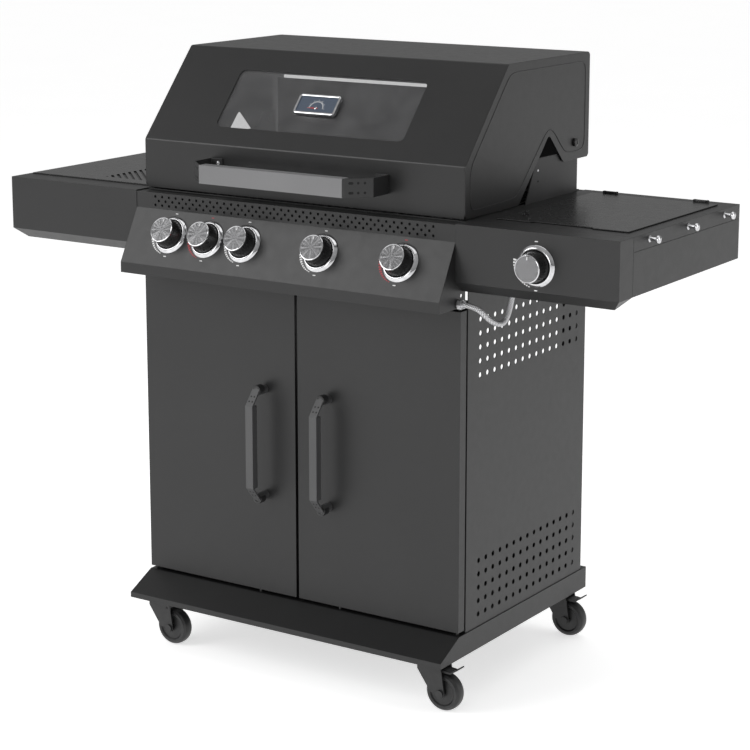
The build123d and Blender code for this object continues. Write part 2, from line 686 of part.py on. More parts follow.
with BuildPart() as side_burner_lid:
    block(*side_lid)
    lid_mid = (side_lid[0] + side_lid[1]) / 2
    with BuildSketch(Plane.XY.offset(side_lid[4] - 1)):
        with Locations((lid_mid, side_lid[2] - 4)):
            SlotOverall(120, 20)
    extrude(amount=4, mode=Mode.SUBTRACT)
    for x in (408.5, 590.5):
        block(x, x + 20, side_lid[3], side_hinge_y, *side_lid[4:])
        rod((x, side_hinge_y, side_hinge_z), (x + 20, side_hinge_y, side_hinge_z), 3.2)
        rod((x - 1, side_hinge_y, side_hinge_z), (x + 21, side_hinge_y, side_hinge_z),
            side_pin_r + fit, Mode.SUBTRACT)
side_burner_lid.part.label = "side_burner_lid"
export_step(side_burner_lid.part, "parts/side_burner_lid.step")

# ---- Side burner: valve behind the fascia, venturi tube and burner head ----
hose_end = (480, front + 3, side_knob_z)
with BuildPart() as side_burner:
    block(side_knob_x - 13, side_knob_x + 13, fascia_y + 4, front + 22, 794, 838)
    with BuildSketch(side_knob_plane.offset(-16)):
        Circle(stem_r + fit)
    extrude(amount=13, mode=Mode.SUBTRACT)
    rod(hose_end, (side_knob_x - 13, front + 3, side_knob_z), 6.5)
    rod((side_knob_x, front + 22, 803), (side_knob_x, front + 36, 803), 3)
    rod((side_knob_x, front + 30, 803), (side_knob_x, burner_y, 803), 9)
    rod((side_knob_x, front + 29, 803), (side_knob_x, burner_y - 4, 803), 7.8, Mode.SUBTRACT)
    rod((side_knob_x, front + 22, 803), (side_knob_x, front + 36, 803), 3)
    rod((burner_x, burner_y, 803), (burner_x, burner_y, 824), 13)
    rod((burner_x, burner_y, 822), (burner_x, burner_y, 836), 42)
    rod((burner_x, burner_y, 836), (burner_x, burner_y, 842), 36)
side_burner.part.label = "side_burner"
export_step(side_burner.part, "parts/side_burner.step")

with BuildPart() as pot_support:
    with BuildSketch(Plane.XY.offset(852)):
        with Locations((burner_x, burner_y)):
            Circle(92)
            Circle(86, mode=Mode.SUBTRACT)
            with PolarLocations(62, 4, start_angle=45):
                Rectangle(64, 6)
    extrude(amount=8)
    with BuildSketch(Plane.XY.offset(pan[4] + sheet)):
        with Locations((burner_x, burner_y)):
            with PolarLocations(89, 4, start_angle=45):
                Circle(3)
    extrude(amount=40)
pot_support.part.label = "pot_support"
export_step(pot_support.part, "parts/pot_support.step")

# ---- Utensil hooks: mushroom-headed pegs on the end of the right shelf ----
with BuildPart() as utensil_hooks:
    for y in hook_y:
        for start, end, radius in ((0, 2, 6), (0, 14, 3.5), (14, 21, 7)):
            rod((shelf_out + start, y, hook_z), (shelf_out + end, y, hook_z), radius)
    fillet(edges().group_by(Axis.X)[-1], 4)
utensil_hooks.part.label = "utensil_hooks"
export_step(utensil_hooks.part, "parts/utensil_hooks.step")

# ---- Gas hose from the panel's end to the side burner's valve ----
hose_r = 5
hose_route = [
    hose_start,
    (386, front - 10.5, 738),
    (400, front + 14, 708),
    (408, front + 46, 698),
    (411, front + 62, 730),
    (414, front + 66, 768),
    (428, front + 40, 800),
    (450, front + 3, side_knob_z),
    hose_end,
]
hose_runs = [(Vector(*b) - Vector(*a)) for a, b in zip(hose_route, hose_route[1:])]
hose_radii = [
    0.45 * min(a.length, b.length) / tan(radians(a.get_angle(b)) / 2) for a, b in zip(hose_runs, hose_runs[1:])
]
print("hose radii", [round(r, 1) for r in hose_radii])
with BuildPart() as gas_hose:
    with BuildLine() as hose_line:
        FilletPolyline(*hose_route, radius=hose_radii)
    with BuildSketch(Plane(origin=hose_start, z_dir=hose_runs[0])):
        Circle(hose_r)
    sweep(path=hose_line.wires()[0])
hose_length = hose_line.wires()[0].length
print("hose length", round(hose_length, 1), "volume", round(gas_hose.part.volume),
      "section times length", round(3.14159265 * hose_r**2 * hose_length))
gas_hose.part.label = "gas_hose"
export_step(gas_hose.part, "parts/gas_hose.step")

# ---- Pins: lid bolts, door pins, door rests and the side lid's hinge wires ----
with BuildPart() as hinge_pins:
    for side in (-1, 1):
        rod((side * 338, lid_hinge_y, lid_hinge_z), (side * 350, lid_hinge_y, lid_hinge_z), bolt_r)
        rod((side * 336, lid_hinge_y, lid_hinge_z), (side * 343, lid_hinge_y, lid_hinge_z), 7)
        rod((side * 350, lid_hinge_y, lid_hinge_z), (side * 354, lid_hinge_y, lid_hinge_z), 7.5)
        rod((side * hinge_x, hinge_y, tray_top), (side * hinge_x, hinge_y, door_low + 8), hinge_pin_r)
        rod((side * hinge_x, hinge_y, door_high - 8), (side * hinge_x, hinge_y, 726), hinge_pin_r)
        rod((side * 90, front + 8, tray_top), (side * 90, front + 8, door_low - 1), hinge_pin_r)
    for x in (404, 586):
        rod((x, side_hinge_y, side_hinge_z), (x + 29, side_hinge_y, side_hinge_z), side_pin_r)
hinge_pins.part.label = "hinge_pins"
export_step(hinge_pins.part, "parts/hinge_pins.step")

# ---- Casters: plates with their swivel races and kingpins, forks, wheels, brake levers ----
casters = {
    "front_left": (-swivel_x, -swivel_y),
    "front_right": (swivel_x, -swivel_y),
    "rear_left": (-swivel_x, swivel_y),
    "rear_right": (swivel_x, swivel_y),
}
plate_z, race_z = tray_bottom - 2.5, fork_z + fork_plate + 1
with BuildPart() as caster_plates:
    for x, y in casters.values():
        block(x - 36, x + 36, y - 25, y + 25, plate_z, tray_bottom)
        rod((x, y, race_z), (x, y, plate_z), 22)
        rod((x, y, fork_z - 1), (x, y, race_z), kingpin_r)
        rod((x, y, fork_z - 4.5), (x, y, fork_z - 0.8), 8)
caster_plates.part.label = "caster_plates"
export_step(caster_plates.part, "parts/caster_plates.step")

for corner, (x, y) in casters.items():
    axle_x = x + trail
    with BuildPart() as fork:
        block(x - 24, x + 24.5, y - fork_half, y + fork_half, fork_z, fork_z + fork_plate)
        rod((x, y, fork_z - 1), (x, y, race_z), kingpin_r + fit, Mode.SUBTRACT)
        for cheek in (-fork_half, fork_half - fork_plate):
            with BuildSketch(Plane.XZ.offset(-y - cheek)):
                outline(
                    (x - 24, fork_z + fork_plate),
                    (x + 24.5, fork_z + fork_plate),
                    (axle_x + 9, wheel_r),
                    (axle_x - 20, wheel_r),
                    (x - 24, fork_z - 6),
                )
                with Locations((axle_x, wheel_r)):
                    Circle(9)
                with Locations((axle_x - 4, fork_z - 5)):
                    Circle(lever_pin_r + 0.05, mode=Mode.SUBTRACT)
            extrude(amount=-fork_plate)
        rod((axle_x, y - fork_half - 1, wheel_r), (axle_x, y + fork_half + 1, wheel_r), axle_r)
        for face in (-1, 1):
            rod((axle_x, y + face * fork_half, wheel_r), (axle_x, y + face * (fork_half + 3.5), wheel_r), 7)
    fork.part.label = f"caster_fork_{corner}"
    export_step(fork.part, f"parts/caster_fork_{corner}.step")

    with BuildPart() as wheel:
        with BuildSketch(Plane(origin=(axle_x, y, wheel_r), x_dir=(0, 1, 0), z_dir=(1, 0, 0))):
            half, boss = wheel_w / 2, fork_half - fork_plate - 0.5
            outline(
                (-boss, axle_r + fit), (-boss, 9), (4 - half, 11), (4 - half, 24), (-half, 26), (-half, 31),
                (4 - half, wheel_r), (half - 4, wheel_r), (half, 31), (half, 26), (half - 4, 24),
                (half - 4, 11), (boss, 9), (boss, axle_r + fit),
            )
        revolve(axis=Axis((axle_x, y, wheel_r), (0, 1, 0)))
    wheel.part.label = f"caster_wheel_{corner}"
    export_step(wheel.part, f"parts/caster_wheel_{corner}.step")

    if corner.endswith("right"):
        with BuildPart() as lever:
            with BuildSketch(Plane.XZ.offset(-y - 13)):
                outline(
                    (axle_x - 7, fork_z - 2.5),
                    (axle_x + 17.5, fork_z - 4.5),
                    (axle_x + 30, fork_z + 4),
                    (axle_x + 31.5, fork_z + 2),
                    (axle_x + 18, fork_z - 7.2),
                    (axle_x - 7, fork_z - 7.5),
                )
            extrude(amount=26)
            rod((axle_x - 4, y - fork_half, fork_z - 5), (axle_x - 4, y + fork_half, fork_z - 5), lever_pin_r)
        lever.part.label = f"brake_lever_{corner}"
        export_step(lever.part, f"parts/brake_lever_{corner}.step")
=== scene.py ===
import json
from math import pi, radians

import bmesh
import bpy
import numpy as np
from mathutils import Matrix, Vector

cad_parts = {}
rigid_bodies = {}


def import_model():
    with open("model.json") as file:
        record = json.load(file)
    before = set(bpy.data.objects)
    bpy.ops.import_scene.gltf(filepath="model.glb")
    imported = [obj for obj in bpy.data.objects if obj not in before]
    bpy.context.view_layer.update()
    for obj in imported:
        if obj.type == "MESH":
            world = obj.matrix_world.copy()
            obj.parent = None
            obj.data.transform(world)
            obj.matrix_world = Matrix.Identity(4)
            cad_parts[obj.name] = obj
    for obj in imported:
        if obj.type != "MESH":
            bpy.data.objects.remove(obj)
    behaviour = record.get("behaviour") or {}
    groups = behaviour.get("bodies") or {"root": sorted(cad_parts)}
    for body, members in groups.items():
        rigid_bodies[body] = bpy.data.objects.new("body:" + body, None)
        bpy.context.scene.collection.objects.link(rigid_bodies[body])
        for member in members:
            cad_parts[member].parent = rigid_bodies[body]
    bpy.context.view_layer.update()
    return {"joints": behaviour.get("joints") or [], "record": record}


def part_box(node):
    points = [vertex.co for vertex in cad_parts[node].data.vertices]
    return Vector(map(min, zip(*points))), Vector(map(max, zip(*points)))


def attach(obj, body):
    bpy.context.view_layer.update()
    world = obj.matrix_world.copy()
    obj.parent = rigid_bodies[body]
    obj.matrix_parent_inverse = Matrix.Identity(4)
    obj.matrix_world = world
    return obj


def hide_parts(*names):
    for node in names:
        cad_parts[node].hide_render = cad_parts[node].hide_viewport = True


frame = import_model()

mm = 0.001
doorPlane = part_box("door_left")[0][1]  # y of the door fronts
joints = {joint["name"]: joint for joint in frame["joints"]}


# camera
camera = {
    "place": (2.2642, -3.3712, 1.4959),
    "yaw": 33.49,
    "pitch": 11.53,
    "lens": 105.48,
    "shift": (-0.0035, -0.1),
}


def addCamera(spec):
    data = bpy.data.cameras.new("viewCamera")
    data.lens = spec["lens"]
    data.sensor_width = 36
    data.shift_x, data.shift_y = spec["shift"]
    data.clip_end = 60
    cam = bpy.data.objects.new("viewCamera", data)
    cam.location = spec["place"]
    cam.rotation_euler = (radians(90 - spec["pitch"]), 0, radians(spec["yaw"]))
    bpy.context.collection.objects.link(cam)
    bpy.context.scene.camera = cam


addCamera(camera)
print("camera placed")


# shader helpers
class Wire:
    # a socket that takes part in sums
    def __init__(self, tree, socket):
        self.tree, self.socket = tree, socket

    def join(self, operation, other, swap=False):
        maths = self.tree.nodes.new("ShaderNodeMath")
        maths.operation = operation
        pair = (other, self) if swap else (self, other)
        for slot, value in zip(maths.inputs, pair):
            if isinstance(value, Wire):
                self.tree.links.new(value.socket, slot)
            else:
                slot.default_value = value
        return Wire(self.tree, maths.outputs[0])

    def __add__(self, other):
        return self.join("ADD", other)

    def __radd__(self, other):
        return self.join("ADD", other, True)

    def __sub__(self, other):
        return self.join("SUBTRACT", other)

    def __rsub__(self, other):
        return self.join("SUBTRACT", other, True)

    def __mul__(self, other):
        return self.join("MULTIPLY", other)

    def __rmul__(self, other):
        return self.join("MULTIPLY", other, True)


class Finish:
    # one material, its shader and the nodes in front of it
    def __init__(self, name, **constants):
        self.material = bpy.data.materials.new(name)
        self.material.use_nodes = True
        self.tree = self.material.node_tree
        self.shader = self.tree.nodes["Principled BSDF"]
        for key, value in constants.items():
            self.shader.inputs[key.replace("_", " ")].default_value = value

    def node(self, kind, settings=None, inputs=None, output=0):
        made = self.tree.nodes.new(kind)
        for key, value in (settings or {}).items():
            if key == "stops":
                while len(made.color_ramp.elements) < len(value):
                    made.color_ramp.elements.new(0.5)
                for element, (place, colour) in zip(made.color_ramp.elements, value):
                    element.position, element.color = place, (*colour, 1)
            else:
                setattr(made, key, value)
        for key, value in (inputs or {}).items():
            if isinstance(value, Wire):
                self.tree.links.new(value.socket, made.inputs[key])
            else:
                made.inputs[key].default_value = value
        return Wire(self.tree, made.outputs[output])

    def feed(self, **inputs):
        for key, value in inputs.items():
            self.tree.links.new(value.socket, self.shader.inputs[key.replace("_", " ")])

    def place(self, kind="Object"):
        return self.node("ShaderNodeTexCoord", output=kind)

    def noise(self, scale, detail=3.0, where=None):
        inputs = {"Vector": where or self.place(), "Scale": scale, "Detail": detail}
        return self.node("ShaderNodeTexNoise", inputs=inputs)

    def tint(self, factor, dark, light):
        stops = [(0.3, dark), (0.7, light)]
        return self.node("ShaderNodeValToRGB", {"stops": stops}, {"Fac": factor})

    def relief(self, height, depth, strength=1.0, edge=0.0):
        inputs = {"Height": height, "Distance": depth, "Strength": strength}
        if edge:
            inputs["Normal"] = self.node("ShaderNodeBevel", {"samples": 4}, {"Radius": edge})
        self.feed(Normal=self.node("ShaderNodeBump", inputs=inputs))


# finishes
def powderCoat(name, dark, light, rough, grain=1400.0, edge=0.0012):
    coat = Finish(name, Specular_IOR_Level=0.5)
    cloud = coat.noise(4.0)
    coat.feed(Base_Color=coat.tint(cloud, dark, light), Roughness=rough + 0.10 * (coat.noise(60.0) - 0.5))
    coat.relief(coat.noise(grain, 2.0), 0.00012, 0.35, edge)
    return coat.material


def grey(value):
    return (value, value, value * 1.02)


def wornEnamel(name):
    coat = Finish(name)
    cloud = coat.noise(18.0, 6.0)
    coat.feed(Base_Color=coat.tint(cloud, grey(0.02), grey(0.04)), Roughness=0.42 + 0.2 * cloud)
    coat.relief(coat.noise(1200.0), 0.0001, 0.3, 0.001)
    return coat.material


def brushedSteel(name, dark, light, stretch=(8, 900, 900), rough=0.28):
    steel = Finish(name, Metallic=1.0)
    inputs = {"Vector": steel.place(), "Scale": stretch}
    streak = steel.noise(1.0, 4.0, steel.node("ShaderNodeMapping", inputs=inputs))
    steel.feed(Base_Color=steel.tint(streak, dark, light), Roughness=rough + 0.18 * streak)
    steel.relief(streak, 0.00006, 0.6, 0.0006)
    return steel.material


def chromePlate(name, rough=0.07):
    plate = Finish(name, Metallic=1.0)
    smear = plate.noise(120.0, 2.0)
    plate.feed(Base_Color=plate.tint(smear, grey(0.5), grey(0.66)), Roughness=rough + 0.07 * smear)
    return plate.material


def spunFace(name):
    # fine turning marks, rings round the knob's axis held in the piece's own UV map
    face = Finish(name, Metallic=1.0, Anisotropic=0.7)
    settings = {"wave_type": "RINGS", "rings_direction": "Z"}
    inputs = {"Vector": face.place("UV"), "Scale": 260.0, "Distortion": 0.6, "Detail": 2.0}
    rings = face.node("ShaderNodeTexWave", settings, inputs)
    face.feed(Base_Color=face.tint(rings, grey(0.12), grey(0.3)), Roughness=0.3 + 0.12 * rings)
    face.relief(rings, 0.00008, 1.0)
    return face.material


def mouldedPlastic(name, dark, light, rough):
    body = Finish(name)
    cloud = body.noise(90.0)
    body.feed(Base_Color=body.tint(cloud, dark, light), Roughness=rough + 0.12 * cloud)
    body.relief(body.noise(900.0, 2.0), 0.00015, 0.4, 0.0006)
    return body.material


def wireBraid(name):
    # two crossed sets of strands: a sine of (turns along plus turns round), and of their difference
    braid = Finish(name, Metallic=1.0)
    inputs = {"Vector": braid.place("UV")}
    along = braid.node("ShaderNodeSeparateXYZ", inputs=inputs, output=0)
    around = braid.node("ShaderNodeSeparateXYZ", inputs=inputs, output=1)
    over = (along * (2 * pi * 60) + around * (2 * pi * 8)).join("SINE", 0.0)
    under = (along * (2 * pi * 60) - around * (2 * pi * 8)).join("SINE", 0.0)
    weave = over.join("MAXIMUM", under)
    braid.feed(Base_Color=braid.tint(weave * 0.5 + 0.5, grey(0.10), grey(0.75)), Roughness=0.5 - 0.2 * weave)
    braid.relief(weave, 0.0006, 0.9)
    return braid.material


def clearGlass(name):
    glass = Finish(name, Transmission_Weight=0.0, IOR=1.5)
    smear = glass.noise(25.0)
    glass.feed(Base_Color=glass.tint(smear, grey(0.12), grey(0.16)), Roughness=0.02 + 0.04 * smear,
               Alpha=0.30 + 0.06 * smear)
    return glass.material


def printInk(name, colour):
    ink = Finish(name)
    patch = ink.noise(800.0)
    ink.feed(Base_Color=ink.tint(patch, tuple(0.8 * c for c in colour), colour), Roughness=0.5 + 0.1 * patch)
    return ink.material


finishes = {
    "cabinet_paint": powderCoat("cabinetPaint", grey(0.008), grey(0.011), 0.42),
    "hood_paint": powderCoat("hoodPaint", grey(0.006), grey(0.009), 0.38),
    "worktop_paint": powderCoat("worktopPaint", grey(0.008), grey(0.012), 0.28),
    "handle_paint": powderCoat("handlePaint", grey(0.055), grey(0.068), 0.42, 900.0),
    "bracket_paint": powderCoat("bracketPaint", grey(0.014), grey(0.02), 0.38),
    "enamel": wornEnamel("enamel"),
    "inner_steel": brushedSteel("innerSteel", grey(0.4), grey(0.62)),
    "grate_iron": wornEnamel("grateIron"),
    "bright_steel": chromePlate("brightSteel"),
    "knob_grip": mouldedPlastic("knobGrip", grey(0.008), grey(0.014), 0.22),
    "zinc": brushedSteel("zincPlate", grey(0.42), grey(0.6), (300, 300, 300), 0.35),
    "hose_braid": wireBraid("hoseBraid"),
    "lid_glass": clearGlass("lidGlass"),
    "dial_face": printInk("dialFace", (0.055, 0.075, 0.11)),
    "needle_red": printInk("needleRed", (0.62, 0.03, 0.02)),
    "caster_plastic": mouldedPlastic("casterPlastic", grey(0.01), grey(0.02), 0.35),
}
spun = spunFace("spunFace")
barPaint = powderCoat("lidBarPaint", grey(0.14), grey(0.17), 0.45, 900.0)
whiteInk = printInk("whiteInk", (0.75, 0.75, 0.75))
redInk = printInk("redInk", (0.35, 0.02, 0.03))
# near-black painted shade, for the dark patches laid where holes are
paintedHoleShade = mouldedPlastic("holeShade", grey(0.002), grey(0.004), 0.8)

for row in frame["record"]["subparts"]:
    node = bpy.data.objects[row["node"]]
    for slot in node.material_slots:
        slot.material = finishes[row["material_slot"]]
bpy.data.objects["lid_handle_bar"].material_slots[0].material = barPaint
print("finishes set on the CAD nodes")


# mesh helpers
def gridMesh(name, grid, body, slot, materials, rowMaterial=None, uv=None, turns=False):
    # a grid of points, rows along the piece and columns round it, joined by quads
    # it is closed by end faces, or by joining its last row to its first where it turns in on itself
    rows, columns = grid.shape[:2]
    index = np.arange(rows * columns).reshape(rows, columns)
    if turns:
        index = np.vstack([index, index[:1]])
    side = np.roll(index, -1, axis=1)
    faces = np.stack([index[:-1], side[:-1], side[1:], index[1:]], axis=-1).reshape(-1, 4).tolist()
    kinds = np.repeat(rowMaterial if rowMaterial is not None else np.zeros(len(index) - 1, int), columns)
    if not turns:
        faces += [index[0][::-1].tolist(), index[-1].tolist()]
        kinds = np.concatenate([kinds, [kinds[0], kinds[-1]]])
    mesh = bpy.data.meshes.new(name)
    mesh.from_pydata(grid.reshape(-1, 3).tolist(), [], faces)
    mesh.polygons.foreach_set("material_index", kinds.astype(np.int32))
    if uv is not None:
        corners = np.empty(len(mesh.loops), np.int32)
        mesh.loops.foreach_get("vertex_index", corners)
        layer = mesh.uv_layers.new(name="plan")
        layer.data.foreach_set("uv", uv.reshape(-1, 2)[corners].astype(np.float32).ravel())
    shell = bmesh.new()
    shell.from_mesh(mesh)
    bmesh.ops.recalc_face_normals(shell, faces=shell.faces)
    shell.to_mesh(mesh)
    shell.free()
    mesh.shade_smooth()
    mesh.set_sharp_from_angle(angle=radians(32))
    piece = bpy.data.objects.new(name, mesh)
    for material in materials:
        mesh.materials.append(material)
    bpy.context.collection.objects.link(piece)
    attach(piece, body)
    return piece


def axes(normal, across=(1, 0, 0)):
    # three unit vectors: across, up the face, and out of it
    n = np.array(normal, float) / np.linalg.norm(normal)
    if abs(np.dot(across, n)) > 0.99:
        across = (0, 1, 0)
    x = np.array(across, float) - n * np.dot(across, n)
    x /= np.linalg.norm(x)
    return x, np.cross(n, x), n


def lathe(name, profile, centre, normal, body, slot, materials, segments=72, wave=None, **more):
    # (radius, height) pairs turned about the normal, where wave adds a radius that depends on the angle
    profile = np.array(profile, float)
    angle = np.linspace(0, 2 * pi, segments, endpoint=False)
    radius = profile[:, :1] + (wave(angle, profile) if wave else 0 * angle)
    x, y, n = axes(normal)
    flat = np.stack([radius * np.cos(angle), radius * np.sin(angle)], axis=-1)
    grid = np.array(centre) + flat[..., :1] * x + flat[..., 1:] * y + profile[:, 1, None, None] * n
    return gridMesh(name, grid, body, slot, materials, uv=flat * 20, **more)


def roundedLoop(width, height, radius, steps=6):
    # a rectangle whose corners are quarter circles
    turn = np.linspace(0, pi / 2, steps)
    parts = []
    for corner, (sx, sy) in enumerate(((1, 1), (-1, 1), (-1, -1), (1, -1))):
        a = turn + corner * pi / 2
        cx, cy = sx * (width / 2 - radius), sy * (height / 2 - radius)
        parts.append(np.stack([cx + radius * np.cos(a), cy + radius * np.sin(a)], axis=-1))
    return np.concatenate(parts)


def onFace(loop, height, centre, normal):
    # lays flat (x, y) points on a face, at a height above it
    x, y, n = axes(normal)
    return np.array(centre) + loop[..., :1] * x + loop[..., 1:] * y + height * n


def slab(name, loops, centre, normal, body, slot, materials, **more):
    # outlines stacked along the normal, each a (loop, height) pair
    grid = np.stack([onFace(loop, height, centre, normal) for loop, height in loops])
    return gridMesh(name, grid, body, slot, materials, **more)


def tube(name, path, radius, body, slot, material, segments=10):
    # a circle carried along a path, its plane square to the path at each point
    path = np.array(path, float)
    ahead = np.gradient(path, axis=0)
    ahead /= np.linalg.norm(ahead, axis=1, keepdims=True)
    spare = np.where(np.abs(ahead[:, :1]) < 0.9, [[1.0, 0, 0]], [[0, 1.0, 0]])
    first = np.cross(ahead, spare)
    first /= np.linalg.norm(first, axis=1, keepdims=True)
    second = np.cross(ahead, first)
    a = np.linspace(0, 2 * pi, segments, endpoint=False)[None, :, None]
    grid = path[:, None] + radius * (np.cos(a) * first[:, None] + np.sin(a) * second[:, None])
    return gridMesh(name, grid, body, slot, [material])


def at(x, y, z):
    # millimetres from the centre line, the door fronts and the floor
    return np.array([x * mm, doorPlane + y * mm, z * mm])


# gas hose
hose = {
    "diameter": 0.010,
    "route": [(362, -10.5, 738), (386, -10.5, 738), (400, 14, 708), (408, 46, 698), (411, 62, 730),
              (414, 66, 768), (428, 40, 800), (450, 3, 822), (480, 3, 822)],
}


def addHose(spec):
    data = bpy.data.curves.new("gasHose", "CURVE")
    data.dimensions = "3D"
    data.bevel_depth = spec["diameter"] / 2
    data.bevel_resolution = 6
    data.resolution_u = 24
    spline = data.splines.new("NURBS")
    spline.points.add(len(spec["route"]) - 1)
    for point, place in zip(spline.points, spec["route"]):
        point.co = (*at(*place), 1)
    spline.order_u = 3
    spline.use_endpoint_u = True
    data.materials.append(finishes["hose_braid"])
    piece = bpy.data.objects.new("gasHose", data)
    bpy.context.collection.objects.link(piece)
    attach(piece, "cart")
    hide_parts("gas_hose")
    tuple(at(*spec["route"][0]))


addHose(hose)
print("hose laid")


# knobs and their rings
knob = {"base": 27.5, "top": 23.5, "foot": 3.5, "shoulder": 28, "rim": 24,
        "ribs": 30, "rib": 0.45, "fluted": (5, 26), "spun": 20, "pointer": 17.5}
ring = {"outer": 36, "inner": 28.6, "height": 6}
marks = {"radius": 37.5, "first": 170, "last": 250, "ticks": 13, "short": 1.6, "growth": 5.2, "tick": 2.9,
         "dash": 41.5, "ink": 0.12}


def addKnob(number, centre, normal):
    def rib(angle, profile):
        # a row of shallow flutes on the grip, between two heights and outside the spun face
        low, high = knob["fluted"]
        r, z = profile[:, 0], profile[:, 1]
        inside = (z > low * mm) & (z < high * mm) & (r > knob["spun"] * mm)
        return -knob["rib"] * mm * inside[:, None] * (0.5 - 0.5 * np.cos(knob["ribs"] * angle))[None, :]

    height = np.linspace(knob["foot"], knob["shoulder"], 12)
    radius = knob["base"] + (knob["top"] - knob["base"]) * (height - height[0]) / (height[-1] - height[0])
    grip = [(r * mm, h * mm) for r, h in zip(radius, height)]
    start = [((knob["base"] - 1) * mm, knob["foot"] * mm)]
    rim = knob["rim"]
    lip = [(rim - 0.8, 28), (rim, 28.6), (rim, 31), (rim - 0.7, 31.8), (rim - 1.6, 32), (rim - 2.2, 31.4)]
    face = [(21.5, 31.2), (14, 31.25), (7, 31.3), (0.4, 31.3)]
    profile = start + grip + [(r * mm, h * mm) for r, h in lip + face]
    kinds = np.array([0] * len(grip) + [1] * len(lip) + [2] * len(face))[: len(profile) - 1]
    materials = [finishes["knob_grip"], finishes["bright_steel"], spun]
    piece = lathe(f"knobCap{number}", profile, centre, normal, f"knob_{number}_cap", "knob_grip", materials,
                  segments=120, wave=rib, rowMaterial=kinds)
    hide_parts(f"knob_{number}")
    pointer = centre + axes(normal)[1] * knob["pointer"] * mm
    slab(f"knobPointer{number}", [(roundedLoop(1.6 * mm, 5.5 * mm, 0.7 * mm), h * mm) for h in (31, 31.9)],
         pointer, normal, f"knob_{number}_cap", "knob_grip", [whiteInk])


def addRing(number, centre, normal):
    a, b, h = ring["outer"], ring["inner"], ring["height"]
    profile = [(a, 0.0), (a, 1.6), (a - 0.8, 2.8), (a - 4, 5.2), (a - 5, h - 0.1), (b + 1, h),
               (b + 0.2, h - 0.5), (b, h - 1.2), (b, 0.0)]
    return lathe(f"knobRing{number}", [(r * mm, z * mm) for r, z in profile], centre, normal, "cart",
                 "bright_steel", [finishes["bright_steel"]], segments=96, turns=True)


def addMarks(number, centre, normal, ink):
    # a scale that grows along its arc, and two short dashes
    x, up = axes(normal)[:2]
    for tick, angle in enumerate(np.linspace(marks["first"], marks["last"], marks["ticks"])):
        a = radians(angle)
        long = (marks["short"] + marks["growth"] * (1 - tick / (marks["ticks"] - 1))) * mm
        middle = marks["radius"] * mm + long / 2
        spot = centre + middle * (np.cos(a) * x + np.sin(a) * up)
        along, aside = np.array([np.cos(a), np.sin(a)]), np.array([-np.sin(a), np.cos(a)])
        shape = roundedLoop(long, marks["tick"] * mm, 0.4 * mm, 2)
        loop = shape[:, :1] * along + shape[:, 1:] * aside
        slab(f"scaleTick{number}_{tick}", [(loop, 0.0), (loop, marks["ink"] * mm)], spot, normal,
             "cart", "knob_grip", [ink])
    for name, angle in (("top", 90), ("foot", 270)):
        a = radians(angle)
        spot = centre + marks["dash"] * mm * (np.cos(a) * x + np.sin(a) * up)
        loop = roundedLoop(6 * mm, 1.8 * mm, 0.5 * mm, 2)
        colour = whiteInk if name == "foot" else ink
        slab(f"dash{number}_{name}", [(loop, 0.0), (loop, marks["ink"] * mm)], spot, normal,
             "cart", "knob_grip", [colour])


for number in range(1, 7):
    turn = joints[f"knob_{number}_turn"]
    centre, normal = np.array(turn["pos_m"]), np.array(turn["axis"])
    addKnob(number, centre, normal)
    addRing(number, centre, normal)
    addMarks(number, centre, normal, redInk if number in (2, 5) else whiteInk)
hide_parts("knob_bezels")
print("knobs, rings and scales made")


# thermometer
gauge = {"width": 91, "height": 43, "corner": 7, "proud": 8, "drop": 2.2, "pivot": 8,
         "arc": 14.5, "ticks": 19, "long": 4.2, "short": 2.2, "ink": 0.1, "needle": (6.1, 6.6)}


